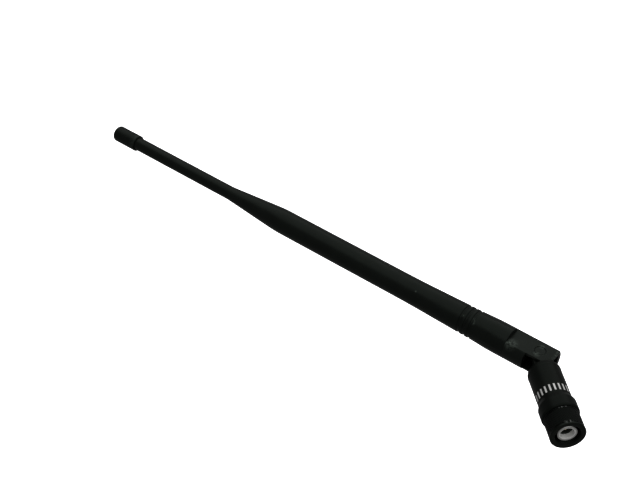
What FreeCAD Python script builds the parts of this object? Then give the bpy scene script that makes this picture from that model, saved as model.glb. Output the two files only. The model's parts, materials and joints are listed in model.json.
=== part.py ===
import FreeCAD, Part
import math
import os

from FreeCAD import Vector

# Jointed whip antenna with a threaded coaxial plug, lying on its side. Millimetres.
# Origin: centre of the plug's outer contact at its front edge. The plug mates towards -X.
# +Z is the hinge pin's axis. The mast is drawn along a local +X from the hinge axis, with
# its fold side towards local +Y, and is then turned to the bent rest position.

# ---- driving dimensions ----
REST_BEND = 45.0          # angle between the connector's axis and the mast, at rest
PIVOT_X = 40.3            # hinge axis, from the outer contact's front edge
RUNNING_GAP = 0.05        # radial clearance of a turning fit
GLUE_GAP = 0.04           # radial clearance of a glued joint
SNUG_GAP = 0.02           # clearance of a pressed, crimped or clipped fit
CUT_MARGIN = 1.0          # how far a cutting shape reaches past what it cuts

# threaded plug
CONTACT_R = 4.05
CONTACT_BORE_R = 3.30
CONTACT_EDGE = 0.15
CONTACT_FREE_LENGTH = 4.2
CONTACT_ROOT_R = 3.80
LINER_X = (0.05, 2.45)
LINER_BORE_R = 2.95
INSULATOR_FACE_X = 2.5
INSULATOR_BORE_R = 2.40
INSULATOR_BORE_END_X = 5.2
INSULATOR_NECK_R = 1.95
INSULATOR_END_X = 12.0
PIN_R = 0.65
PIN_TIP_X = 2.2
PIN_NOSE = (0.5, 0.3)     # length of its tapered nose, radius at the tip
PIN_REAR_X = 13.0
GASKET_X = (4.25, 5.18)
GASKET_R = 4.85
BODY_SEAT_X = 7.0         # bottom of the body's socket for contact and insulator
FLANGE_R = 4.95
FLANGE_X = (5.2, 6.1)
BODY_NECK_R = 4.47
JOURNAL_X = (9.1, 15.5)
JOURNAL_R = 3.85
STUB_R = 2.60
STUB_END_X = 16.5
TAIL_R = 1.90
TAIL_END_X = 20.0
BODY_BORE_R = 2.00
BODY_BORE_END_X = 14.0
SNAP_RING_X = (7.86, 8.36)
SNAP_RING_R = 5.20
SNAP_RING_SPLIT = 1.2
SNAP_GROOVE_R = 4.25
O_RING_X = (11.6, 12.9)
O_RING_GROOVE_R = 2.95
FERRULE_X = (16.7, 23.2)
FERRULE_CONE_X = (20.2, 20.9)
FERRULE_R = 2.35
FERRULE_NECK_R = 1.40

# coupling nut
NUT_X = (-1.04, 7.8)
NUT_R = 7.15
NUT_RIM_R = 7.20
NUT_RIM_WIDTH = 0.9
NUT_RIM_CHAMFER = 0.15
NUT_EDGE = 0.25
NUT_BORE_R = 5.10
NUT_WEB_X = 6.2

# swivel between plug and base
BUSH_R = 5.60
BUSH_X = (9.2, 15.4)
STOP_TAB_ANGLE = 14.0
STOP_LUG_X = (14.9, 16.3)
STOP_LUG_INNER_R = 5.0
STOP_WASHER_END_X = 16.2
STOP_WASHER_R = 4.85
STOP_TAB_R = (4.5, 5.4)

# base housing
BASE_R = 6.85
SHOULDER_X = PIVOT_X - 7.1
SHOULDER_ROUND = (3.0, 0.6)   # along the axis, radial
COLLAR_R = 7.70
COLLAR_FRONT_X = 8.0
COLLAR_FLAT_X = (9.3, 13.3)
COLLAR_CHAMFER_END_X = 15.5
COLLAR_FRONT_R = 7.0
COLLAR_FRONT_MIDDLE = (8.38, 7.49)   # point on the collar's rounded front edge
BASE_SOCKET_END_X = 17.6
FERRULE_ROOM_R = 2.80
FERRULE_ROOM_END_X = 24.0

# hinge
TONGUE_R = 3.90
TONGUE_ROOT = 1.5         # how far the tongue reaches into the base
TONGUE_HALF_HEIGHT = 3.25
TONGUE_GAP_HALF = 1.10
TONGUE_EDGE_ROUND = 0.25
SLOT_HALF_HEIGHT = 3.50
SLOT_BACK_Y = -4.15
SLOT_END_T = 4.15
FORK_R = 6.88
FORK_END_T = -6.60
FORK_END_CHAMFER = 0.35
FORK_FLAT_Z = 4.50
FORK_STEP_T = 13.30
FORK_EDGE_ROUND = 0.25
FOLD_CUT_Y = 5.10
FOLD_CUT_T = 4.00
HINGE_PIN_R = 1.25
HINGE_PIN_END_Z = 1.20
HINGE_HEAD_R = 2.30
HEAD_THICKNESS = 0.32
HEAD_RIM = 0.20
HEAD_RECESS_R = 2.48
HEAD_RECESS_DEPTH = 0.40
WASHER_R = 3.20
WASHER_RECESS_DEPTH = 0.20
WASHER_PROUD = 0.15       # how far a washer stands out of the tongue's face

# cable
CABLE_R = 0.90
CABLE_CORE_R = 0.43
CABLE_HOLE_R = 1.35
CABLE_BEND_START = 8.0    # distance from the hinge axis where the cable starts to bend
JACKET_START_X = 14.2
JACKET_END_T = 121.0

# mast, distances t from the hinge axis
SPIGOT_R = 4.45
SPIGOT_END_T = 25.0
SPIGOT_GROOVE_T = (19.6, 21.0)
SPIGOT_GROOVE_R = 3.45
RADOME_BORE_R = 4.50
RADOME_R = 5.76
RADOME_FLARE = (          # outside of the thick stretch, as distance and radius
    (20.0, FORK_R),
    (23.6, 6.72),
    (27.0, 6.56),
    (38.6, 6.30),
    (55.0, 5.92),
    (66.0, RADOME_R),
)
RADOME_FOOT_CHAMFER = 0.20
RADOME_TAPER_T = (136.9, 167.6)
RADOME_TAPER_BLEND = 3.6
RADOME_BORE_TAPER_T = (133.0, 167.0)
RADOME_TIP_R = 3.26
RADOME_TIP_BORE_R = 2.10
RADOME_END_T = 237.0
GROOVE_T = (30.2, 32.8, 35.4)
GROOVE_HALF_WIDTH = 0.65
GROOVE_DEPTH = 0.45
CAP_T = (229.4, 243.7)
CAP_R = 4.00
CAP_ROUND = 1.2
CAP_FOOT_CHAMFER = 0.25
CAP_ROOF = 1.8
CAP_SOCKET_R = 2.60
CUSHION_R = 2.50
SLEEVE_T = (27.0, 120.0)
SLEEVE_R = 3.60
SLEEVE_WALL = 0.35
SLEEVE_TOP = 0.6
SUPPORT_WIDTH = 4.0       # of each ring, bead and spacer that centres something
SLEEVE_RING_T = (35.0, 73.0, 111.0)
SLEEVE_BEAD_T = (30.0, 60.0, 90.0)
ROD_SPACER_T = (170.0, 196.0, 222.0)
BRAID_COLLAR = (0.5, 2.20)    # length, radius
BRAID_CRIMP = (2.6, 1.35)
COIL_T = (127.2, 146.8)
COIL_R = 2.62
COIL_WIRE_R = 0.35
COIL_TURNS = 9
FORMER_T = (126.0, 148.0)
FORMER_R = 2.20
FORMER_FLANGE = (0.6, 3.40)   # thickness, radius
ROD_R = 0.75
ROD_T = (144.0, 233.0)

ORIGIN = Vector(0, 0, 0)
ALONG = Vector(1, 0, 0)
UP = Vector(0, 0, 1)


# ---- helpers ----
def rod(start, end, radius):
    """Round bar about the local X axis."""
    return Part.makeCylinder(radius, end - start, Vector(start, 0, 0), ALONG)


def tube(start, end, outer, inner):
    """Round tube about the local X axis."""
    return rod(start, end, outer).cut(rod(start, end, inner))


def at(x, y):
    return Vector(x, y, 0)


def polyline(*points):
    """Straight edges through (x, r) points."""
    corners = [at(*p) for p in points]
    return [Part.LineSegment(a, b).toShape() for a, b in zip(corners, corners[1:])]


def arc(start, middle, end):
    return [Part.Arc(at(*start), at(*middle), at(*end)).toShape()]


def turned(edges):
    """Solid of revolution about the local X axis from a closed half section."""
    outline = Part.Wire(Part.__sortEdges__(edges))
    return Part.Face(outline).revolve(ORIGIN, ALONG, 360)


def ring(centre_x, centre_r, section_r):
    """O-ring about the local X axis."""
    return Part.makeTorus(centre_r, section_r, Vector(centre_x, 0, 0), ALONG)


def block(low, high):
    size = [b - a for a, b in zip(low, high)]
    return Part.makeBox(size[0], size[1], size[2], Vector(*low))


def sector(start, end, outer, inner, middle_angle, width_angle):
    """Piece of a tube about the local X axis, as wide as width_angle."""
    whole = tube(start, end, outer, inner)
    wedge = Part.makeCylinder(
        outer + CUT_MARGIN, end - start, Vector(start, 0, 0), ALONG, width_angle
    )
    mid = wedge.CenterOfMass
    wedge.rotate(ORIGIN, ALONG, middle_angle - math.degrees(math.atan2(mid.z, mid.y)))
    return whole.common(wedge)


def on_mast(shape):
    """Moves a shape drawn along the local mast axis to its bent place."""
    placed = shape.copy()
    placed.rotate(ORIGIN, UP, REST_BEND)
    placed.translate(Vector(PIVOT_X, 0, 0))
    return placed


def edges_at_height(shape, z, beyond_x=-1000.0):
    """Edges that lie wholly in the plane at height z and reach past beyond_x."""
    box = [(edge, edge.BoundBox) for edge in shape.Edges]
    level = [(e, b) for e, b in box if abs(b.ZMin - z) < 1e-4 and abs(b.ZMax - z) < 1e-4]
    return [e for e, b in level if b.XMax > beyond_x]


def save(name, *solids):
    shape = solids[0] if len(solids) == 1 else Part.makeCompound(list(solids))
    count = len(shape.Solids)
    if not shape.isValid() or count < 1:
        raise ValueError(name + " is not a valid solid")
    shape.exportStep(os.path.join("parts", name + ".step"))
    print(name, count, "solid(s)", round(shape.Volume, 1), "mm3")


# ---- threaded plug ----
def outer_contact():
    root = tube(CONTACT_FREE_LENGTH, BODY_SEAT_X, CONTACT_ROOT_R, CONTACT_BORE_R)
    sleeve = turned(polyline(
        (0, CONTACT_BORE_R),
        (0, CONTACT_R - CONTACT_EDGE),
        (CONTACT_EDGE, CONTACT_R),
        (CONTACT_FREE_LENGTH, CONTACT_R),
        (CONTACT_FREE_LENGTH, CONTACT_BORE_R),
        (0, CONTACT_BORE_R),
    ))
    return sleeve.fuse(root).removeSplitter()


def contact_liner():
    """Light plastic ring in the mouth of the outer contact."""
    return tube(*LINER_X, CONTACT_BORE_R - SNUG_GAP, LINER_BORE_R)


def insulator():
    """Plug-shaped insulator set back in the outer contact, with a socket round the pin."""
    front = rod(INSULATOR_FACE_X, BODY_SEAT_X, CONTACT_BORE_R - SNUG_GAP)
    neck = rod(BODY_SEAT_X, INSULATOR_END_X, INSULATOR_NECK_R)
    mouth = rod(0, INSULATOR_BORE_END_X, INSULATOR_BORE_R)
    pin_hole = rod(0, PIN_REAR_X, PIN_R + SNUG_GAP)
    return front.fuse(neck).cut(mouth).cut(pin_hole).removeSplitter()


def centre_pin():
    nose_length, nose_r = PIN_NOSE
    return turned(polyline(
        (PIN_TIP_X, 0),
        (PIN_TIP_X, nose_r),
        (PIN_TIP_X + nose_length, PIN_R),
        (PIN_REAR_X, PIN_R),
        (PIN_REAR_X, 0),
        (PIN_TIP_X, 0),
    ))


def face_gasket():
    return tube(*GASKET_X, GASKET_R, CONTACT_ROOT_R + SNUG_GAP)


def connector_body():
    outside = rod(FLANGE_X[0], FLANGE_X[1], FLANGE_R)
    outside = outside.fuse(rod(FLANGE_X[1], JOURNAL_X[0], BODY_NECK_R))
    outside = outside.fuse(rod(JOURNAL_X[0], JOURNAL_X[1], JOURNAL_R))
    outside = outside.fuse(rod(JOURNAL_X[1], STUB_END_X, STUB_R))
    outside = outside.fuse(rod(STUB_END_X, TAIL_END_X, TAIL_R))
    outside = outside.cut(tube(*SNAP_RING_X, BODY_NECK_R + CUT_MARGIN, SNAP_GROOVE_R))
    outside = outside.cut(tube(*O_RING_X, JOURNAL_R + CUT_MARGIN, O_RING_GROOVE_R))
    outside = outside.cut(rod(0, BODY_SEAT_X, CONTACT_ROOT_R + SNUG_GAP))
    outside = outside.cut(rod(BODY_SEAT_X, BODY_BORE_END_X, BODY_BORE_R))
    cable_hole = rod(BODY_BORE_END_X, TAIL_END_X, CABLE_R + GLUE_GAP)
    return outside.cut(cable_hole).removeSplitter()


def nut_snap_ring():
    """Split ring in the body's groove that stops the nut sliding back."""
    start, end = SNAP_RING_X
    closed = tube(start + SNUG_GAP, end - SNUG_GAP, SNAP_RING_R, SNAP_GROOVE_R + SNUG_GAP)
    half = SNAP_RING_SPLIT / 2
    split = block((start, 0, -half), (end, SNAP_RING_R + CUT_MARGIN, half))
    return closed.cut(split)


def coupling_nut():
    """Round nut with a raised front rim, a threaded bore and a rear web behind the flange."""
    front, back = NUT_X
    return turned(polyline(
        (front, NUT_BORE_R + NUT_EDGE),
        (front, NUT_RIM_R - NUT_EDGE),
        (front + NUT_EDGE, NUT_RIM_R),
        (front + NUT_RIM_WIDTH, NUT_RIM_R),
        (front + NUT_RIM_WIDTH + NUT_RIM_CHAMFER, NUT_R),
        (back - NUT_EDGE, NUT_R),
        (back, NUT_R - NUT_EDGE),
        (back, BODY_NECK_R + RUNNING_GAP),
        (NUT_WEB_X, BODY_NECK_R + RUNNING_GAP),
        (NUT_WEB_X, NUT_BORE_R),
        (front + NUT_EDGE, NUT_BORE_R),
        (front, NUT_BORE_R + NUT_EDGE),
    ))


# ---- swivel between plug and base ----
def swivel_bush():
    """Bearing bush fixed in the base, with a stop lug on its rear face."""
    outer = BUSH_R - SNUG_GAP
    bearing = tube(*BUSH_X, outer, JOURNAL_R + RUNNING_GAP)
    lug = sector(*STOP_LUG_X, outer, STOP_LUG_INNER_R, 180, STOP_TAB_ANGLE)
    return bearing.fuse(lug).removeSplitter()


def swivel_stop_washer():
    """Washer staked to the connector body; its tab meets the bush's lug near a full turn."""
    tab_inner, tab_outer = STOP_TAB_R
    disc = tube(JOURNAL_X[1], STOP_WASHER_END_X, STOP_WASHER_R, STUB_R)
    tab = sector(JOURNAL_X[1], STOP_WASHER_END_X, tab_outer, tab_inner, 0, STOP_TAB_ANGLE)
    return disc.fuse(tab).removeSplitter()


def swivel_o_ring():
    section = (JOURNAL_R - O_RING_GROOVE_R) / 2
    return ring(sum(O_RING_X) / 2, O_RING_GROOVE_R + section + SNUG_GAP / 2, section)


def cable_ferrule():
    """Crimp tube over the body's tail, necked down on the cable."""
    start, end = FERRULE_X
    cone_start, cone_end = FERRULE_CONE_X
    seat = TAIL_END_X + GLUE_GAP
    return turned(polyline(
        (start, TAIL_R + SNUG_GAP),
        (start, FERRULE_R),
        (cone_start, FERRULE_R),
        (cone_end, FERRULE_NECK_R),
        (end, FERRULE_NECK_R),
        (end, CABLE_R + SNUG_GAP),
        (seat, CABLE_R + SNUG_GAP),
        (seat, TAIL_R + SNUG_GAP),
        (start, TAIL_R + SNUG_GAP),
    ))


def base_housing():
    """Round base with a chamfered collar and a two-cheek hinge tongue."""
    axial, radial = SHOULDER_ROUND
    half = math.sqrt(0.5)
    bend = (SHOULDER_X - axial * (1 - half), BASE_R - radial * (1 - half))
    outline = arc((SHOULDER_X, BASE_R - radial), bend, (SHOULDER_X - axial, BASE_R))
    outline += polyline(
        (SHOULDER_X - axial, BASE_R),
        (COLLAR_CHAMFER_END_X, BASE_R),
        (COLLAR_FLAT_X[1], COLLAR_R),
        (COLLAR_FLAT_X[0], COLLAR_R),
    )
    collar_front = (COLLAR_FRONT_X, COLLAR_FRONT_R)
    outline += arc((COLLAR_FLAT_X[0], COLLAR_R), COLLAR_FRONT_MIDDLE, collar_front)
    outline += polyline(
        collar_front,
        (COLLAR_FRONT_X, BUSH_R),
        (BASE_SOCKET_END_X, BUSH_R),
        (BASE_SOCKET_END_X, FERRULE_ROOM_R),
        (FERRULE_ROOM_END_X, FERRULE_ROOM_R),
        (FERRULE_ROOM_END_X, CABLE_HOLE_R),
        (SHOULDER_X, CABLE_HOLE_R),
        (SHOULDER_X, BASE_R - radial),
    )
    barrel = turned(outline)
    root = block(
        (SHOULDER_X - TONGUE_ROOT, -TONGUE_R, -TONGUE_HALF_HEIGHT),
        (PIVOT_X, TONGUE_R, TONGUE_HALF_HEIGHT),
    )
    height = 2 * TONGUE_HALF_HEIGHT
    nose = Part.makeCylinder(TONGUE_R, height, Vector(PIVOT_X, 0, -TONGUE_HALF_HEIGHT), UP)
    tongue = root.fuse(nose).removeSplitter()
    for side in (1, -1):
        rim = edges_at_height(tongue, side * TONGUE_HALF_HEIGHT, SHOULDER_X)
        tongue = tongue.makeFillet(TONGUE_EDGE_ROUND, rim)
        floor = Vector(PIVOT_X, 0, side * (TONGUE_HALF_HEIGHT - WASHER_RECESS_DEPTH))
        tongue = tongue.cut(
            Part.makeCylinder(WASHER_R + RUNNING_GAP, height, floor, Vector(0, 0, side))
        )
    cable_gap = block(
        (SHOULDER_X, -TONGUE_R - CUT_MARGIN, -TONGUE_GAP_HALF),
        (PIVOT_X + TONGUE_R + CUT_MARGIN, TONGUE_R + CUT_MARGIN, TONGUE_GAP_HALF),
    )
    pin_hole = Part.makeCylinder(
        HINGE_PIN_R + RUNNING_GAP, 2 * height, Vector(PIVOT_X, 0, -height), UP
    )
    tongue = tongue.cut(cable_gap).cut(pin_hole).cut(rod(0, SHOULDER_X, CABLE_HOLE_R))
    return barrel.fuse(tongue).removeSplitter()


# ---- hinge ----
def knuckle_fork():
    """Flat-sided fork, closed at its back, open at its end and on its fold side."""
    barrel = turned(polyline(
        (FORK_END_T, 0),
        (FORK_END_T, FORK_R - FORK_END_CHAMFER),
        (FORK_END_T + FORK_END_CHAMFER, FORK_R),
        (FORK_STEP_T, FORK_R),
        (FORK_STEP_T, SPIGOT_R),
        (SPIGOT_END_T, SPIGOT_R),
        (SPIGOT_END_T, 0),
        (FORK_END_T, 0),
    ))
    big = 2 * FORK_R
    front = FORK_END_T - CUT_MARGIN
    shape = barrel
    for side in (1, -1):
        low, high = sorted((side * FORK_FLAT_Z, side * big))
        shape = shape.cut(block((front, -big, low), (FORK_STEP_T, big, high)))
    slot = block(
        (front, SLOT_BACK_Y, -SLOT_HALF_HEIGHT),
        (SLOT_END_T, big, SLOT_HALF_HEIGHT),
    )
    shape = shape.cut(slot)
    shape = shape.cut(block((front, FOLD_CUT_Y, -big), (FOLD_CUT_T, big, big)))
    quarter = block((front, 0, -big), (0, big, big))
    ear_end = Part.makeCylinder(-FORK_END_T, 2 * big, Vector(0, 0, -big), UP)
    shape = shape.cut(quarter.cut(ear_end)).removeSplitter()
    for side in (1, -1):
        rim = edges_at_height(shape, side * FORK_FLAT_Z)
        outer = [e for e in rim if e.BoundBox.XMin < FORK_STEP_T - FORK_EDGE_ROUND]
        shape = shape.makeFillet(FORK_EDGE_ROUND, outer)
    shape = shape.cut(rod(0, SPIGOT_END_T, CABLE_HOLE_R))
    shape = shape.cut(tube(*SPIGOT_GROOVE_T, SPIGOT_R + CUT_MARGIN, SPIGOT_GROOVE_R))
    shape = shape.cut(Part.makeCylinder(HINGE_PIN_R, 2 * big, Vector(0, 0, -big), UP))
    recess_floor = FORK_FLAT_Z - HEAD_RECESS_DEPTH
    for side in (1, -1):
        start = Vector(0, 0, side * recess_floor)
        recess = Part.makeCylinder(HEAD_RECESS_R, big, start, Vector(0, 0, side))
        shape = shape.cut(recess)
    return shape.removeSplitter()


def hinge_pin(side):
    """Stub pin: a flat round head sunk in the fork's flat, and a short shaft."""
    head_z = FORK_FLAT_Z - HEAD_RECESS_DEPTH
    out = Vector(0, 0, side)
    length = head_z - HINGE_PIN_END_Z
    shaft = Part.makeCylinder(HINGE_PIN_R, length, out * HINGE_PIN_END_Z, out)
    rim = Part.makeCylinder(HINGE_HEAD_R, HEAD_RIM, out * head_z, out)
    bevel = HEAD_THICKNESS - HEAD_RIM
    crown = Part.makeCone(HINGE_HEAD_R, HINGE_HEAD_R - bevel, bevel, out * (head_z + HEAD_RIM), out)
    return shaft.fuse(rim).fuse(crown).removeSplitter()


def hinge_washer(side):
    low = TONGUE_HALF_HEIGHT - WASHER_RECESS_DEPTH + SNUG_GAP
    high = TONGUE_HALF_HEIGHT + WASHER_PROUD
    out = Vector(0, 0, side)
    disc = Part.makeCylinder(WASHER_R, high - low, out * low, out)
    hole = Part.makeCylinder(HINGE_PIN_R + RUNNING_GAP, high - low, out * low, out)
    return disc.cut(hole)


# ---- cable ----
def coax_lower():
    core = rod(PIN_REAR_X, JACKET_START_X, CABLE_CORE_R)
    jacket = rod(JACKET_START_X, PIVOT_X - CABLE_BEND_START, CABLE_R)
    return core.fuse(jacket)


def coax_flex():
    """Cable across the hinge: one arc, tangent to both straight stretches."""
    turn = math.radians(REST_BEND)
    radius = CABLE_BEND_START / math.tan(turn / 2)
    print("cable bend radius", round(radius, 1))
    start = Vector(PIVOT_X - CABLE_BEND_START, 0, 0)
    centre = start + Vector(0, radius, 0)
    section = Part.Face(Part.Wire(Part.makeCircle(CABLE_R, start, ALONG)))
    return section.revolve(centre, UP, REST_BEND)


def coax_upper():
    core = rod(JACKET_END_T, FORMER_T[0], CABLE_CORE_R)
    jacket = rod(CABLE_BEND_START, JACKET_END_T, CABLE_R)
    return core.fuse(jacket)


# ---- mast ----
def radome_outline():
    points = [at(*p) for p in RADOME_FLARE]
    flare = Part.BSplineCurve()
    flare.interpolate(Points=points, InitialTangent=ALONG, FinalTangent=ALONG)
    taper_start, taper_end = RADOME_TAPER_T
    blend = RADOME_TAPER_BLEND
    slope = (RADOME_R - RADOME_TIP_R) / (taper_end - taper_start)
    blend_start = (taper_start - blend, RADOME_R)
    blend_end = (taper_start + blend, RADOME_R - blend * slope)
    blend_mid = (taper_start, RADOME_R - blend * slope / 4)
    outline = [flare.toShape()]
    outline += polyline(
        RADOME_FLARE[0],
        (FORK_STEP_T + RADOME_FOOT_CHAMFER, FORK_R),
        (FORK_STEP_T, FORK_R - RADOME_FOOT_CHAMFER),
        (FORK_STEP_T, RADOME_BORE_R),
        (RADOME_BORE_TAPER_T[0], RADOME_BORE_R),
        (RADOME_BORE_TAPER_T[1], RADOME_TIP_BORE_R),
        (RADOME_END_T, RADOME_TIP_BORE_R),
        (RADOME_END_T, RADOME_TIP_R),
        (taper_end, RADOME_TIP_R),
        blend_end,
    )
    outline += arc(blend_end, blend_mid, blend_start)
    outline += polyline(blend_start, RADOME_FLARE[-1])
    return outline, flare


def radome():
    """Tapered sleeve with three round-bottomed ring grooves near its foot."""
    outline, flare = radome_outline()
    shape = turned(outline)
    cutter_r = (GROOVE_HALF_WIDTH**2 + GROOVE_DEPTH**2) / (2 * GROOVE_DEPTH)
    for t in GROOVE_T:
        surface_r = flare.value(flare.parameter(at(t, FORK_R))).y
        shape = shape.cut(ring(t, surface_r - GROOVE_DEPTH + cutter_r, cutter_r))
    return shape


def radome_o_ring():
    section = (SPIGOT_R - SPIGOT_GROOVE_R) / 2
    return ring(sum(SPIGOT_GROOVE_T) / 2, SPIGOT_GROOVE_R + section, section)


def decoupling_sleeve():
    """Brass tube, closed at its top round the cable."""
    start, end = SLEEVE_T
    wall = tube(start, end, SLEEVE_R, SLEEVE_R - SLEEVE_WALL)
    top = tube(end - SLEEVE_TOP, end, SLEEVE_R, CABLE_R + SNUG_GAP)
    return wall.fuse(top).removeSplitter()


def supports(places, hole_r, inside_r):
    """Short tubes that centre what has the radius inside_r in a hole of radius hole_r."""
    outer, inner = hole_r - SNUG_GAP, inside_r + SNUG_GAP
    return [tube(t, t + SUPPORT_WIDTH, outer, inner) for t in places]


def braid_ferrule():
    start = SLEEVE_T[1]
    pieces = [tube(start, start + n, r, CABLE_R + SNUG_GAP) for n, r in (BRAID_COLLAR, BRAID_CRIMP)]
    return pieces[0].fuse(pieces[1]).removeSplitter()


def coil_former():
    start, end = FORMER_T
    thickness, flange_r = FORMER_FLANGE
    core = rod(start, end, FORMER_R)
    core = core.fuse(rod(start, start + thickness, flange_r))
    core = core.fuse(rod(end - thickness, end, flange_r))
    return core.cut(rod(ROD_T[0], end, ROD_R)).removeSplitter()


def loading_coil():
    start, end = COIL_T
    pitch = (end - start) / COIL_TURNS
    path = Part.makeHelix(pitch, end - start, COIL_R)
    section = Part.Wire(Part.makeCircle(COIL_WIRE_R, Vector(COIL_R, 0, 0), Vector(0, 1, 0)))
    coil = Part.Wire(path.Edges).makePipeShell([section], True, True)
    coil.rotate(ORIGIN, Vector(0, 1, 0), 90)
    coil.translate(Vector(start, 0, 0))
    return coil


def tip_cap():
    start, end = CAP_T
    half = CAP_ROUND * (1 - math.sqrt(0.5))
    outline = arc((end - CAP_ROUND, CAP_R), (end - half, CAP_R - half), (end, CAP_R - CAP_ROUND))
    outline += polyline(
        (end, CAP_R - CAP_ROUND),
        (end, 0),
        (end - CAP_ROOF, 0),
        (end - CAP_ROOF, CAP_SOCKET_R),
        (RADOME_END_T + GLUE_GAP, CAP_SOCKET_R),
        (RADOME_END_T + GLUE_GAP, RADOME_TIP_R + GLUE_GAP),
        (start, RADOME_TIP_R + GLUE_GAP),
        (start, CAP_R - CAP_FOOT_CHAMFER),
        (start + CAP_FOOT_CHAMFER, CAP_R),
        (end - CAP_ROUND, CAP_R),
    )
    return turned(outline)


def tip_cushion():
    return rod(RADOME_END_T + GLUE_GAP, CAP_T[1] - CAP_ROOF - GLUE_GAP, CUSHION_R)


def build():
    os.makedirs("parts", exist_ok=True)
    save("outer_contact", outer_contact())
    save("contact_liner", contact_liner())
    save("insulator", insulator())
    save("centre_pin", centre_pin())
    save("face_gasket", face_gasket())
    save("connector_body", connector_body())
    save("nut_snap_ring", nut_snap_ring())
    save("coupling_nut", coupling_nut())
    save("swivel_bush", swivel_bush())
    save("swivel_stop_washer", swivel_stop_washer())
    save("swivel_o_ring", swivel_o_ring())
    save("cable_ferrule", cable_ferrule())
    save("base_housing", base_housing())
    save("coax_lower", coax_lower())
    save("coax_flex", coax_flex())
    save("coax_upper", on_mast(coax_upper()))
    save("knuckle_fork", on_mast(knuckle_fork()))
    for name, side in (("upper", 1), ("lower", -1)):
        save("hinge_pin_" + name, on_mast(hinge_pin(side)))
        save("hinge_washer_" + name, on_mast(hinge_washer(side)))
    save("radome", on_mast(radome()))
    save("radome_o_ring", on_mast(radome_o_ring()))
    save("decoupling_sleeve", on_mast(decoupling_sleeve()))
    rings = supports(SLEEVE_RING_T, RADOME_BORE_R, SLEEVE_R)
    save("sleeve_rings", *map(on_mast, rings))
    beads = supports(SLEEVE_BEAD_T, SLEEVE_R - SLEEVE_WALL, CABLE_R)
    save("sleeve_beads", *map(on_mast, beads))
    save("braid_ferrule", on_mast(braid_ferrule()))
    save("coil_former", on_mast(coil_former()))
    save("loading_coil", on_mast(loading_coil()))
    save("whip_rod", on_mast(rod(*ROD_T, ROD_R)))
    spacers = supports(ROD_SPACER_T, RADOME_TIP_BORE_R, ROD_R)
    save("rod_spacers", *map(on_mast, spacers))
    save("tip_cap", on_mast(tip_cap()))
    save("tip_cushion", on_mast(tip_cushion()))


build()
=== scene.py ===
import json
import math

import bpy
import bmesh
from mathutils import Matrix, Quaternion, Vector


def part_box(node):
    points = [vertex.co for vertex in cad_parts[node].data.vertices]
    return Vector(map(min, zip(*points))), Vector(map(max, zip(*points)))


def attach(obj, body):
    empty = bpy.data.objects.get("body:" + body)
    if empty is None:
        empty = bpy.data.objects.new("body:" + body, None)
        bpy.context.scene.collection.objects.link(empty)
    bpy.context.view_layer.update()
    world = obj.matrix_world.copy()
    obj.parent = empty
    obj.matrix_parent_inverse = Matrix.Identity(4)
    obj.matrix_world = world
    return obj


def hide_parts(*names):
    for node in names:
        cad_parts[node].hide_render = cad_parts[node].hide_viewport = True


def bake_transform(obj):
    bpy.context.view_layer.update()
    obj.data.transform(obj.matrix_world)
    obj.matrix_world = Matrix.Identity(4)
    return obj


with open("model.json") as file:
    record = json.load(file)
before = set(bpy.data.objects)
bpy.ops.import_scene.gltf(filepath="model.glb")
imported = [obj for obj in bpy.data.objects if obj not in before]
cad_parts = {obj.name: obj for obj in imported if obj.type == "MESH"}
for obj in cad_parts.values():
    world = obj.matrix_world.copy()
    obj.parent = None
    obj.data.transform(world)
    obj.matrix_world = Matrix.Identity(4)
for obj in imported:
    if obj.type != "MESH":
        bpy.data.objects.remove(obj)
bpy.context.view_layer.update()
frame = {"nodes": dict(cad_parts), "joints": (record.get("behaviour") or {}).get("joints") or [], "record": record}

# Lengths here are in mm unless a name says otherwise. MM turns them into metres.
MM = 0.001
SAME = 1e-6             # two numbers closer than this are the same

# ---- places read from the frame, in metres ----
JOINTS = {joint["name"]: joint for joint in frame["joints"]}
NODES = frame["nodes"]
PIVOT = Vector(JOINTS["tilt"]["pos_m"])
HINGE_AXIS = Vector(JOINTS["tilt"]["axis"])
TIP_LOW, TIP_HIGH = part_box("tip_cap")
TIP_MIDDLE = (TIP_LOW + TIP_HIGH) / 2
MAST_DIRECTION = (TIP_MIDDLE - PIVOT).normalized()
MAST_TURN = math.atan2(MAST_DIRECTION.y, MAST_DIRECTION.x)
ON_MAST = Matrix.Translation(PIVOT) @ Matrix.Rotation(MAST_TURN, 4, HINGE_AXIS)
ON_BASE = Matrix.Identity(4)
NUT_LOW, NUT_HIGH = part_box("coupling_nut")

# ---- radome, along the mast from the hinge (t) and out from its axis (r) ----
RADOME_FOOT_T = 13.3
FOOT_TAPER_T = (21.2, 27.2)
BODY_START_T = 61.5
TIP_TAPER_T = (136.9, 167.6)
RADOME_TOP_T = 237.0
BORE_TAPER_T = (133.0, 167.0)
FOOT_R = 6.88
LOWER_BODY_R = 6.56
LOWER_BODY_SLOPE = 0.0235
BODY_R = 5.76
WHIP_R = 3.26
LOWER_BORE_R = 4.5
UPPER_BORE_R = 2.1
LOWER_OUTSIDE_FROM_R = 4.55
UPPER_OUTSIDE_FROM_R = 2.5
GROOVES_T = (30.2, 32.8, 35.4)
GROOVE_DEPTH = 0.47
GROOVE_HALF_WIDTH = 0.68
GROOVE_FLOOR_HALF_WIDTH = 0.38
GROOVE_LIP_BLEND = 0.16
GROOVE_FLOOR_BLEND = 0.20
RADOME_SIDES = 120
PARTING_RIDGE = 0.035
PARTING_WIDTH = math.radians(0.9)

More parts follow.
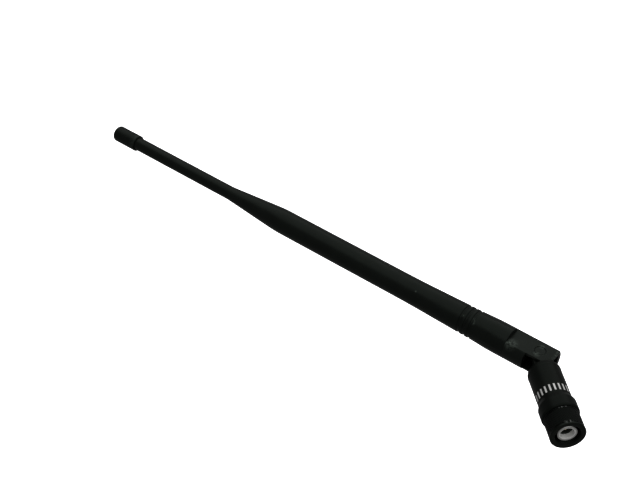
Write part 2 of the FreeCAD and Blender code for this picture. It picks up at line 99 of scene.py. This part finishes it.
# ---- coupling nut, along the connector's axis (x) and out from it (r) ----
NUT_FRONT = NUT_LOW.x / MM
NUT_BACK = NUT_HIGH.x / MM
FRONT_RIM_R = 7.2
FRONT_RIM_WIDTH = 0.95
BACK_RIM_R = 7.12
BACK_RIM_WIDTH = 0.45
RIM_NECK_R = 6.93
RIM_NECK_WIDTH = 0.15
MOUTH_R = 5.45
SHOULDER_X = 6.2
COLLAR_BORE_R = 4.52
KNURL_R = 7.15
KNURL_FROM_FRONT = 1.25
KNURL_FROM_BACK = 0.75
KNURLS = 60
KNURL_DEPTH = 0.17
KNURL_PITCH = 1.1
KNURL_STEEPNESS = 1.6
SIDES_PER_KNURL = 6
THREAD_BORE_R = 5.1
THREAD_FROM_FRONT = (0.35, 5.4)
THREAD_PITCH = 25.4 / 28
THREAD_DEPTH = 0.42
RUN_OUT = 0.3           # length over which the knurl and the thread fade out
ROW_STEP = 0.11

# ---- printed ring of plain marks on the base ----
BASE_R = 6.85
MARK_ROW_X = PIVOT.x / MM - 22.0
MARK_HEIGHT = 3.3
MARK_WIDTH = 0.75
MARK_PITCH = 1.9
MARK_COUNT = 12
MARK_STEPS = 4
MARK_FILM = 0.03
MARK_ROOT = 0.05
MARK_MIDDLE = math.radians(90)

# ---- cable across the hinge ----
CABLE_R = 0.9
CABLE_BEND_START = 8.0
CABLE_END_GAP = 0.04
CABLE_ROWS = 40
CABLE_SIDES = 20

# ---- scuffs, worn edges and painted highlights ----
FLAT_Z = 4.5
# Pale spots on the fork's flat, in order: a scuffed patch with painted glints by the seam, painted highlights
# round the pin head's rim, and painted highlights along the ear's back edge.
SCUFFS_AND_HIGHLIGHTS_ON_FLAT = (      # place along and across the mast, and reach
    (11.4, 4.3, 3.8),
    (0.2, 2.7, 1.8),
    (0.4, -2.3, 1.5),
    (-6.3, -3.6, 1.3),
    (-6.5, -1.6, 1.3),
    (-6.6, 0.4, 1.3),
)
# Pale spots on the radome: painted glints on the groove edges (the first four) and one small pale speck higher up
# (the last).
GLINTS_AND_SPECK_ON_RADOME = (     # place in the mast's own axes, and reach
    (34.9, 3.8, 5.1, 0.8),
    (30.0, 2.9, 5.8, 0.8),
    (29.6, 3.8, 5.3, 0.8),
    (29.2, 4.6, 4.6, 0.8),
    (58.7, 3.9, 4.5, 0.6),
)
# The fork's scuffs and painted highlights, moved from the mast's axes to world places.
FORK_SCUFFS_AND_HIGHLIGHTS = [(ON_MAST @ (Vector((t, y, FLAT_Z)) * MM), reach) for t, y, reach in SCUFFS_AND_HIGHLIGHTS_ON_FLAT]
# The radome's painted glints and speck, moved from the mast's axes to world places.
RADOME_GLINTS_AND_SPECK = [(ON_MAST @ (Vector((t, y, z)) * MM), reach) for t, y, z, reach in GLINTS_AND_SPECK_ON_RADOME]
CAP_MOUTH_T = 229.4
# Painted highlight: a pale band round the tip cap's mouth, lightening the shade on its lip.
CAP_LIP_HIGHLIGHT_REACH = 5.2
CAP_LIP_HIGHLIGHT = [(ON_MAST @ Vector((CAP_MOUTH_T * MM, 0, 0)), CAP_LIP_HIGHLIGHT_REACH)]
# Painted glints: small bright specks on the nut's front and back rims.
GLINTING_RIMS_X = (NUT_LOW.x + 1.2 * MM, NUT_HIGH.x)
NUT_RIM_GLINTS = [Vector((x, NUT_HIGH.z * 0.15, NUT_HIGH.z * 0.97)) for x in GLINTING_RIMS_X]
RIM_GLINT_REACH = 2.4
NARROW_ALONG_X = (3, 1, 1)
ONLY_ALONG_X = (1, 0, 0)
# Depth of the paler colour on the nut's front face.
FRONT_FACE_REACH = 1.2

# ---- looks ----
SHARP_EDGE = math.radians(32)
WELD_M = 1e-7
PLASTIC_EDGE = 0.14
SOFT_PLASTIC_EDGE = 0.5
METAL_EDGE = 0.06
EDGE_COSINES = (0.995, 0.90)    # between a face's own normal and the rounded one: no pale edge, full pale edge (worn edges and painted edge highlights)
BLACK_TINT = (0.92, 1.09, 0.95)
GLOSS_LEVEL = 0.93
# Pale colour of worn edges, scuffs and painted highlights on the black plastic.
PALE_WEAR_AND_HIGHLIGHT = 0.10
# Colour of the painted glints on the nut's rims.
RIM_GLINT_METAL = (0.30, 0.31, 0.30)
TURNED_LINES = (900, 60, 60)
DEEP_GRAIN = 0.05
FINE_GRAIN = 0.02
FINE_LINES = 0.01

# ---- studio ----
CAMERA_FROM_HINGE = Vector((-304.35, 146.2, 313.8))
AIM_FROM_HINGE = Vector((80.52, 80.17, 0.45))
CAMERA_ROLL = math.radians(4.33)
CAMERA_LENS = 61.875
CAMERA_SENSOR = 36.0
CAMERA_CLIP_M = 0.01
FLOOR_REACH_M = 40.0
FLOOR_BELOW_MAST_M = 0.02
FLOOR_GLOW = 0.80
SOFTBOX_PLACE_M = (0.25, -0.28, 1.0)
SOFTBOX_AIM_M = (0.25, -0.28, 0.0)
SOFTBOX_SIZE_M = (3.4, 2.65)
SOFTBOX_POWER = 32.5
ROOM_LIGHT = 0.345
PICTURE_GAMMA = 0.8


# ---- mesh helpers ----
def rounded(corners, steps):
    """Closed outline from (x, r, blend) corners; each corner is eased over its blend length."""
    points = []
    count = len(corners)
    for i, (x, r, blend) in enumerate(corners):
        here = Vector((x, r))
        before = Vector(corners[i - 1][:2]) - here
        after = Vector(corners[(i + 1) % count][:2]) - here
        start = here + before.normalized() * blend
        end = here + after.normalized() * blend
        for k in range(steps + 1):
            u = k / steps
            points.append(start * (1 - u) ** 2 + here * 2 * u * (1 - u) + end * u**2)
    return points


def straight(start_x, end_x, r):
    """Evenly spaced outline points from start_x to end_x at radius r."""
    steps = round(abs(end_x - start_x) / ROW_STEP)
    return [Vector((start_x + (end_x - start_x) * k / steps, r)) for k in range(steps + 1)]


def even_angles(count):
    return [2 * math.pi * k / count for k in range(count)]


def new_object(name, bm, place, material):
    mesh = bpy.data.meshes.new(name)
    bmesh.ops.remove_doubles(bm, verts=bm.verts, dist=WELD_M)
    bmesh.ops.recalc_face_normals(bm, faces=bm.faces)
    bm.to_mesh(mesh)
    bm.free()
    mesh.transform(place)
    mesh.shade_smooth()
    mesh.set_sharp_from_angle(angle=SHARP_EDGE)
    mesh.materials.append(material)
    piece = bpy.data.objects.new(name, mesh)
    bpy.context.scene.collection.objects.link(piece)
    return piece


def lathe(name, outline, angles, place, material, radius_at):
    """Turns a closed (x, r) outline about the local X axis; radius_at may shift r."""
    bm = bmesh.new()
    grid = []
    for angle in angles:
        ring = []
        for x, r in outline:
            radius = radius_at(x, r, angle)
            point = Vector((x, radius * math.cos(angle), radius * math.sin(angle)))
            ring.append(bm.verts.new(point * MM))
        grid.append(ring)
    rows = len(outline)
    for a, ring in enumerate(grid):
        following = grid[(a + 1) % len(grid)]
        for i in range(rows):
            j = (i + 1) % rows
            corners = [ring[i], ring[j], following[j], following[i]]
            bm.faces.new(corners)
    return new_object(name, bm, place, material)


# ---- material helpers ----
class Shader:
    """A Principled material whose colour, roughness and bump come from procedural nodes."""

    def __init__(self, name, roughness, metallic=0.0, specular=0.5):
        self.material = bpy.data.materials.new(name)
        self.material.use_nodes = True
        self.tree = self.material.node_tree
        self.bsdf = self.tree.nodes["Principled BSDF"]
        self.bsdf.inputs["Roughness"].default_value = roughness
        self.bsdf.inputs["Metallic"].default_value = metallic
        self.bsdf.inputs["Specular IOR Level"].default_value = specular
        self.place = self.tree.nodes.new("ShaderNodeTexCoord").outputs["Object"]
        self.colour = None
        self.normal = None

    def link(self, source, target):
        self.tree.links.new(source, target)

    def stretched(self, scale):
        mapping = self.tree.nodes.new("ShaderNodeMapping")
        mapping.inputs["Scale"].default_value = scale
        self.link(self.place, mapping.inputs["Vector"])
        return mapping.outputs["Vector"]

    def noise(self, scale, detail=3.0, roughness=0.5, vector=None):
        """Soft noise with about that many patches in a metre."""
        node = self.tree.nodes.new("ShaderNodeTexNoise")
        node.inputs["Scale"].default_value = scale
        node.inputs["Detail"].default_value = detail
        node.inputs["Roughness"].default_value = roughness
        self.link(vector or self.place, node.inputs["Vector"])
        return node.outputs["Fac"]

    def cells(self, scale):
        node = self.tree.nodes.new("ShaderNodeTexVoronoi")
        node.inputs["Scale"].default_value = scale
        self.link(self.place, node.inputs["Vector"])
        return node.outputs["Distance"]

    def ramp(self, value, low, high, low_out, high_out):
        node = self.tree.nodes.new("ShaderNodeMapRange")
        node.inputs["From Min"].default_value = low
        node.inputs["From Max"].default_value = high
        node.inputs["To Min"].default_value = low_out
        node.inputs["To Max"].default_value = high_out
        self.link(value, node.inputs["Value"])
        return node.outputs["Result"]

    def near(self, centre, reach, scale=(1, 1, 1)):
        """1 at a place on the object, fading to 0 at the reach; a scale of 0 drops an axis."""
        node = self.tree.nodes.new("ShaderNodeVectorMath")
        node.operation = "DISTANCE"
        node.inputs[1].default_value = [c * s for c, s in zip(centre, scale)]
        self.link(self.stretched(scale), node.inputs[0])
        return self.ramp(node.outputs["Value"], 0.0, reach * MM, 1, 0)

    def combined(self, operation, a, b):
        node = self.tree.nodes.new("ShaderNodeMath")
        node.operation = operation
        self.link(a, node.inputs[0])
        self.link(b, node.inputs[1])
        return node.outputs["Value"]

    def product(self, a, b):
        return self.combined("MULTIPLY", a, b)

    def larger(self, a, b):
        return self.combined("MAXIMUM", a, b)

    def colours(self, mask, low, high):
        """Base colour between low and high; low is None to go on from the last colour."""
        node = self.tree.nodes.new("ShaderNodeMix")
        node.data_type = "RGBA"
        if low is None:
            self.link(self.colour, node.inputs["A"])
        else:
            node.inputs["A"].default_value = (*low, 1)
        node.inputs["B"].default_value = (*high, 1)
        self.link(mask, node.inputs["Factor"])
        self.colour = node.outputs["Result"]
        self.link(self.colour, self.bsdf.inputs["Base Color"])

    def soft_edges(self, radius):
        """Rounds each edge in the shading, and returns a mask that is 1 on the edges."""
        bevel = self.tree.nodes.new("ShaderNodeBevel")
        bevel.samples = 6
        bevel.inputs["Radius"].default_value = radius * MM
        self.normal = bevel.outputs["Normal"]
        self.link(self.normal, self.bsdf.inputs["Normal"])
        facing = self.tree.nodes.new("ShaderNodeVectorMath")
        facing.operation = "DOT_PRODUCT"
        self.link(self.normal, facing.inputs[0])
        self.link(self.tree.nodes.new("ShaderNodeNewGeometry").outputs["Normal"], facing.inputs[1])
        return self.ramp(facing.outputs["Value"], *EDGE_COSINES, 0, 1)

    def rough(self, value, smoothest, roughest):
        self.link(self.ramp(value, 0.3, 0.7, smoothest, roughest), self.bsdf.inputs["Roughness"])

    def bump(self, value, strength, height):
        node = self.tree.nodes.new("ShaderNodeBump")
        node.inputs["Strength"].default_value = strength
        node.inputs["Distance"].default_value = height * MM
        self.link(value, node.inputs["Height"])
        if self.normal is not None:
            self.link(self.normal, node.inputs["Normal"])
        self.normal = node.outputs["Normal"]
        self.link(self.normal, self.bsdf.inputs["Normal"])


def greenish(level):
    """The slightly green black of the object's plastic and plating."""
    return tuple(level * share for share in BLACK_TINT)


def moulded_black(name, dark, light, roughness, specular=0.15, edge=PLASTIC_EDGE, scuffs_and_highlights=()):
    """Black moulded plastic: spark-eroded grain, soft mottling, and pale edges and spots, partly worn and partly
    painted highlights.

    The places are (place, reach) pairs: scuffed spots, and painted highlights."""
    s = Shader(name, roughness, specular=specular)
    s.bsdf.inputs["Specular Tint"].default_value = (*greenish(GLOSS_LEVEL), 1)
    edges = s.soft_edges(edge)
    mottling = s.ramp(s.noise(160, 4), 0.35, 0.65, 0, 1)
    s.colours(mottling, greenish(dark), greenish(light))

    # Pale patches along edges: partly worn edges, partly painted edge highlights.
    edge_wear_and_glint = s.ramp(s.noise(700, 4, 0.6), 0.42, 0.66, 0, 0.35)
    pale_wear_and_highlights = s.product(edges, edge_wear_and_glint)
    streaks = s.ramp(s.noise(900, 5, 0.7), 0.40, 0.62, 0, 1)
    # Listed spots: scuffs, and painted highlights.
    for place, reach in scuffs_and_highlights:
        pale_wear_and_highlights = s.larger(pale_wear_and_highlights, s.product(s.near(place, reach), streaks))
    s.colours(pale_wear_and_highlights, None, greenish(PALE_WEAR_AND_HIGHLIGHT))

    handling = s.noise(90, 5, 0.6)
    s.rough(handling, roughness - 0.06, roughness + 0.08)
    spark_grain = s.noise(5200, 2)
    s.bump(spark_grain, 0.35, FINE_GRAIN)
    waviness = s.noise(420, 3)
    s.bump(waviness, 0.12, DEEP_GRAIN)
    return s.material


def add_turned_lines(s, smoothest, roughest):
    """Fine turning marks round the connector's axis."""
    lines = s.noise(5.0, 2, vector=s.stretched(TURNED_LINES))
    s.rough(lines, smoothest, roughest)
    s.bump(lines, 0.08, FINE_LINES)


def plated(name, low, high, roughness):
    """Bright plated metal."""
    s = Shader(name, roughness, metallic=1.0)
    s.soft_edges(METAL_EDGE)
    s.colours(s.noise(240, 4), low, high)
    add_turned_lines(s, roughness - 0.05, roughness + 0.08)
    return s.material


def glinting_black_plating(name):
    """Black plating of the nut: a paler front face, and painted glints as small bright specks on its rims."""
    s = Shader(name, 0.34, metallic=1.0)
    s.soft_edges(METAL_EDGE)
    s.colours(s.noise(240, 4), greenish(0.0072), greenish(0.0115))
    front_face = s.near(NUT_LOW, FRONT_FACE_REACH, ONLY_ALONG_X)
    s.colours(front_face, None, greenish(0.022))
    specks = s.ramp(s.noise(1500, 4, 0.6), 0.50, 0.55, 0, 1)
    for place in NUT_RIM_GLINTS:
        # Painted glints on the rims.
        rim_glints = s.product(s.near(place, RIM_GLINT_REACH, NARROW_ALONG_X), specks)
        s.colours(rim_glints, None, RIM_GLINT_METAL)
    add_turned_lines(s, 0.29, 0.42)
    return s.material


def waxy(name, low, high, roughness):
    """Smooth printed or drawn plastic with a faint grain."""
    s = Shader(name, roughness, specular=0.4)
    s.colours(s.noise(300, 3), low, high)
    s.rough(s.noise(200, 3), roughness - 0.05, roughness + 0.06)
    s.bump(s.noise(900, 3), 0.15, FINE_GRAIN)
    return s.material


def rubbery(name, low, high):
    """Dull rubber or foam with small pores."""
    s = Shader(name, 0.75, specular=0.3)
    s.colours(s.noise(400, 3), low, high)
    s.bump(s.cells(2500), 0.2, FINE_GRAIN)
    return s.material


MATERIALS = {
    "radome_plastic": moulded_black("radome_plastic", 0.0062, 0.0080, 0.32, scuffs_and_highlights=RADOME_GLINTS_AND_SPECK),
    "fork_plastic": moulded_black("fork_plastic", 0.0085, 0.0110, 0.34, scuffs_and_highlights=FORK_SCUFFS_AND_HIGHLIGHTS),
    "base_plastic": moulded_black("base_plastic", 0.0048, 0.0062, 0.32, specular=0.10),
    "cap_plastic": moulded_black("cap_plastic", 0.0050, 0.0066, 0.38, edge=SOFT_PLASTIC_EDGE,
                                 scuffs_and_highlights=CAP_LIP_HIGHLIGHT),
    "hinge_pin": moulded_black("hinge_pin", 0.0085, 0.0110, 0.35, scuffs_and_highlights=FORK_SCUFFS_AND_HIGHLIGHTS),
    "white_marks": waxy("white_marks", (0.30, 0.30, 0.29), (0.66, 0.66, 0.65), 0.55),
    "black_nut": glinting_black_plating("black_nut"),
    "plated_contact": plated("plated_contact", (0.46, 0.46, 0.45), (0.58, 0.58, 0.56), 0.34),
    "plated_body": plated("plated_body", (0.60, 0.58, 0.54), (0.72, 0.70, 0.66), 0.34),
    "ptfe": waxy("ptfe", (0.66, 0.66, 0.64), (0.74, 0.74, 0.73), 0.42),
    "insulator_plastic": moulded_black("insulator_plastic", 0.028, 0.034, 0.40),
    "gold_pin": plated("gold_pin", (0.62, 0.50, 0.28), (0.72, 0.60, 0.38), 0.30),
    "rubber": rubbery("rubber", (0.010, 0.010, 0.010), (0.016, 0.016, 0.016)),
    "spring_steel": plated("spring_steel", (0.40, 0.40, 0.42), (0.52, 0.52, 0.53), 0.30),
    "bush_plastic": waxy("bush_plastic", (0.66, 0.64, 0.56), (0.76, 0.74, 0.67), 0.5),
    "cable_jacket": waxy("cable_jacket", (0.045, 0.050, 0.045), (0.060, 0.066, 0.060), 0.35),
    "brass": plated("brass", (0.68, 0.46, 0.18), (0.80, 0.57, 0.26), 0.32),
    "copper": plated("copper", (0.66, 0.26, 0.12), (0.78, 0.34, 0.17), 0.26),
    "foam": rubbery("foam", (0.03, 0.03, 0.03), (0.05, 0.05, 0.05)),
}


def finish_nodes():
    """Gives every CAD node the material of its slot in the record."""
    for part in frame["record"]["subparts"]:
        node = NODES[part["node"]]
        for slot in node.material_slots:
            slot.material = MATERIALS[part["material_slot"]]


def add_piece(piece, body, slot, *replaced):
    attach(piece, body)
    if replaced:
        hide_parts(*replaced)


# ---- radome ----
def groove_corners(t):
    """One ring groove across the lower body."""
    surface = LOWER_BODY_R - LOWER_BODY_SLOPE * (t - FOOT_TAPER_T[1])
    floor = surface - GROOVE_DEPTH
    return [
        (t - GROOVE_HALF_WIDTH, surface, GROOVE_LIP_BLEND),
        (t - GROOVE_FLOOR_HALF_WIDTH, floor, GROOVE_FLOOR_BLEND),
        (t + GROOVE_FLOOR_HALF_WIDTH, floor, GROOVE_FLOOR_BLEND),
        (t + GROOVE_HALF_WIDTH, surface, GROOVE_LIP_BLEND),
    ]


def radome_outline():
    corners = [
        (RADOME_FOOT_T, LOWER_BORE_R, 0.1),
        (RADOME_FOOT_T, FOOT_R, 0.25),
        (FOOT_TAPER_T[0], FOOT_R, 2.2),
        (FOOT_TAPER_T[1], LOWER_BODY_R, 1.5),
    ]
    for t in GROOVES_T:
        corners += groove_corners(t)
    corners += [
        (BODY_START_T, BODY_R, 8.0),
        (TIP_TAPER_T[0], BODY_R, 3.6),
        (TIP_TAPER_T[1], WHIP_R, 0.5),
        (RADOME_TOP_T, WHIP_R, 0.2),
        (RADOME_TOP_T, UPPER_BORE_R, 0.1),
        (BORE_TAPER_T[1], UPPER_BORE_R, 1.0),
        (BORE_TAPER_T[0], LOWER_BORE_R, 2.0),
    ]
    return rounded(corners, steps=6)


def radome():
    """Tapered moulded sleeve with ring grooves and two faint parting ridges."""
    seams = (0.0, math.pi)
    angles = even_angles(RADOME_SIDES)
    for seam in seams:
        angles += [seam - PARTING_WIDTH / 2, seam + PARTING_WIDTH / 2]
    angles = sorted(a % (2 * math.pi) for a in angles)

    def radius_at(t, r, angle):
        on_seam = any(abs(math.remainder(angle - seam, 2 * math.pi)) < SAME for seam in seams)
        on_body = r > LOWER_OUTSIDE_FROM_R
        on_whip = t > TIP_TAPER_T[0] and r > UPPER_OUTSIDE_FROM_R
        return r + PARTING_RIDGE if on_seam and (on_body or on_whip) else r

    shell = lathe("radome_shell", radome_outline(), angles, ON_MAST,
                  MATERIALS["radome_plastic"], radius_at)
    add_piece(shell, "mast", "radome_plastic", "radome")


# ---- coupling nut ----
def nut_outline(knurl, thread):
    """Closed outline of the nut; knurl and thread are (start, end) along the axis."""
    neck_start = NUT_FRONT + FRONT_RIM_WIDTH
    back_rim_start = NUT_BACK - BACK_RIM_WIDTH
    front = [
        (NUT_FRONT, MOUTH_R, 0.08),
        (NUT_FRONT, FRONT_RIM_R, 0.28),
        (neck_start, FRONT_RIM_R, 0.12),
        (neck_start + RIM_NECK_WIDTH, RIM_NECK_R, 0.10),
    ]
    back = [
        (back_rim_start - RIM_NECK_WIDTH, RIM_NECK_R, 0.08),
        (back_rim_start, BACK_RIM_R, 0.10),
        (NUT_BACK, BACK_RIM_R, 0.22),
        (NUT_BACK, COLLAR_BORE_R, 0.1),
        (SHOULDER_X, COLLAR_BORE_R, 0.1),
        (SHOULDER_X, THREAD_BORE_R, 0.1),
    ]
    outside = rounded(front, steps=4) + straight(*knurl, KNURL_R)
    inside = straight(thread[1], thread[0], THREAD_BORE_R)
    return outside + rounded(back, steps=4) + inside


def coupling_nut():
    """Knurled nut with plain rims and a cut thread in its mouth."""
    knurl = (NUT_FRONT + KNURL_FROM_FRONT, NUT_BACK - KNURL_FROM_BACK)
    thread = tuple(NUT_FRONT + distance for distance in THREAD_FROM_FRONT)

    def triangle(phase):
        return 2 * abs(phase - math.floor(phase + 0.5))

    def fade(x, ends):
        return max(0.0, min(1.0, (x - ends[0]) / RUN_OUT, (ends[1] - x) / RUN_OUT))

    def radius_at(x, r, angle):
        turn = angle / (2 * math.pi)
        if abs(r - KNURL_R) < SAME:
            left = triangle(turn * KNURLS + x / KNURL_PITCH)
            right = triangle(turn * KNURLS - x / KNURL_PITCH)
            cut = 1 - min(1.0, KNURL_STEEPNESS * left * right)
            return r - KNURL_DEPTH * cut * fade(x, knurl)
        if abs(r - THREAD_BORE_R) < SAME:
            return r + THREAD_DEPTH * triangle(turn + x / THREAD_PITCH) * fade(x, thread)
        return r

    nut = lathe("nut_knurled", nut_outline(knurl, thread), even_angles(KNURLS * SIDES_PER_KNURL), ON_BASE,
                MATERIALS["black_nut"], radius_at)
    add_piece(nut, "nut", "black_nut", "coupling_nut")


# ---- printed ring of plain marks on the base ----
def printed_marks():
    """A row of plain light bars, printed part of the way round the base."""
    bm = bmesh.new()
    for k in range(MARK_COUNT):
        centre = MARK_MIDDLE + (k - (MARK_COUNT - 1) / 2) * MARK_PITCH / BASE_R
        add_mark(bm, centre)
    marks = new_object("printed_marks", bm, ON_BASE, MATERIALS["white_marks"])
    add_piece(marks, "base", "white_marks")


def add_mark(bm, centre):
    """One curved bar at an angle round the base, standing a film's thickness above it."""
    half_turn = MARK_WIDTH / BASE_R / 2
    ends = (MARK_ROW_X - MARK_HEIGHT / 2, MARK_ROW_X + MARK_HEIGHT / 2)
    layers = []
    for radius in (BASE_R - MARK_ROOT, BASE_R + MARK_FILM):
        row = []
        for k in range(MARK_STEPS + 1):
            angle = centre + half_turn * (2 * k / MARK_STEPS - 1)
            for x in ends:
                point = Vector((x, radius * math.cos(angle), radius * math.sin(angle)))
                row.append(bm.verts.new(point * MM))
        layers.append(row)
    inner, outer = layers
    for k in range(MARK_STEPS):
        a, b, c, d = 2 * k, 2 * k + 1, 2 * k + 3, 2 * k + 2
        bm.faces.new([outer[a], outer[b], outer[c], outer[d]])
        bm.faces.new([inner[a], inner[d], inner[c], inner[b]])
        bm.faces.new([outer[a], outer[d], inner[d], inner[a]])
        bm.faces.new([outer[b], inner[b], inner[c], outer[c]])
    last = 2 * MARK_STEPS
    bm.faces.new([outer[0], inner[0], inner[1], outer[1]])
    bm.faces.new([outer[last], outer[last + 1], inner[last + 1], inner[last]])


# ---- cable across the hinge ----
def hinge_cable():
    """Cable stretch on one arc from the base to the mast, bent to the mast's present turn."""
    bend = CABLE_BEND_START / math.tan(MAST_TURN / 2)
    centre = Vector((PIVOT.x / MM - CABLE_BEND_START, bend, 0))
    end_turn = CABLE_END_GAP / bend
    bm = bmesh.new()
    grid = []
    for k in range(CABLE_ROWS + 1):
        turn = end_turn + (MAST_TURN - 2 * end_turn) * k / CABLE_ROWS
        out = Vector((math.sin(turn), -math.cos(turn), 0))
        middle = centre + out * bend
        ring = []
        for angle in even_angles(CABLE_SIDES):
            point = middle + (out * math.cos(angle) + HINGE_AXIS * math.sin(angle)) * CABLE_R
            ring.append(bm.verts.new(point * MM))
        grid.append(ring)
    for a, b in zip(grid, grid[1:]):
        for i in range(CABLE_SIDES):
            j = (i + 1) % CABLE_SIDES
            bm.faces.new([a[i], a[j], b[j], b[i]])
    bm.faces.new(grid[0])
    bm.faces.new(grid[-1])
    cable = new_object("hinge_cable", bm, ON_BASE, MATERIALS["cable_jacket"])
    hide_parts("coax_flex")
    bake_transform(cable)


# ---- studio ----
def camera():
    data = bpy.data.cameras.new("camera")
    data.lens = CAMERA_LENS
    data.sensor_width = CAMERA_SENSOR
    data.clip_start = CAMERA_CLIP_M
    view = bpy.data.objects.new("camera", data)
    view.location = PIVOT + CAMERA_FROM_HINGE * MM
    view.rotation_mode = "QUATERNION"
    roll = Quaternion((0, 0, 1), CAMERA_ROLL)
    view.rotation_quaternion = (AIM_FROM_HINGE - CAMERA_FROM_HINGE).to_track_quat("-Z", "Y") @ roll
    bpy.context.scene.collection.objects.link(view)
    bpy.context.scene.camera = view


def floor():
    """White sheet, lit from below as on a light table, out of the folding mast's way.

    Its glow doesn't reach the object."""
    bm = bmesh.new()
    bmesh.ops.create_grid(bm, x_segments=1, y_segments=1, size=FLOOR_REACH_M)
    s = Shader("floor", 0.8, specular=0.1)
    s.colours(s.noise(3, 2), (0.91, 0.91, 0.91), (0.93, 0.93, 0.93))
    s.bsdf.inputs["Emission Color"].default_value = (1, 1, 1, 1)
    s.bsdf.inputs["Emission Strength"].default_value = FLOOR_GLOW
    mast_sweep = (TIP_MIDDLE - PIVOT).length + FLOOR_BELOW_MAST_M
    plane = new_object("floor", bm, Matrix.Translation((0, 0, -mast_sweep)), s.material)
    plane.visible_diffuse = False
    plane.visible_glossy = False


def softbox():
    data = bpy.data.lights.new("overhead_softbox", "AREA")
    data.shape = "RECTANGLE"
    data.size, data.size_y = SOFTBOX_SIZE_M
    data.energy = SOFTBOX_POWER
    light = bpy.data.objects.new("overhead_softbox", data)
    light.location = SOFTBOX_PLACE_M
    light.rotation_mode = "QUATERNION"
    light.rotation_quaternion = (Vector(SOFTBOX_AIM_M) - light.location).to_track_quat("-Z", "Y")
    bpy.context.scene.collection.objects.link(light)


def room():
    """Even white light from the room, and the picture's tone."""
    world = bpy.data.worlds.new("studio")
    world.use_nodes = True
    background = world.node_tree.nodes["Background"]
    background.inputs["Color"].default_value = (1, 1, 1, 1)
    background.inputs["Strength"].default_value = ROOM_LIGHT
    bpy.context.scene.world = world
    settings = bpy.context.scene.view_settings
    settings.view_transform = "Standard"
    settings.gamma = PICTURE_GAMMA


finish_nodes()
radome()
coupling_nut()
printed_marks()
hinge_cable()
camera()
floor()
softbox()
room()
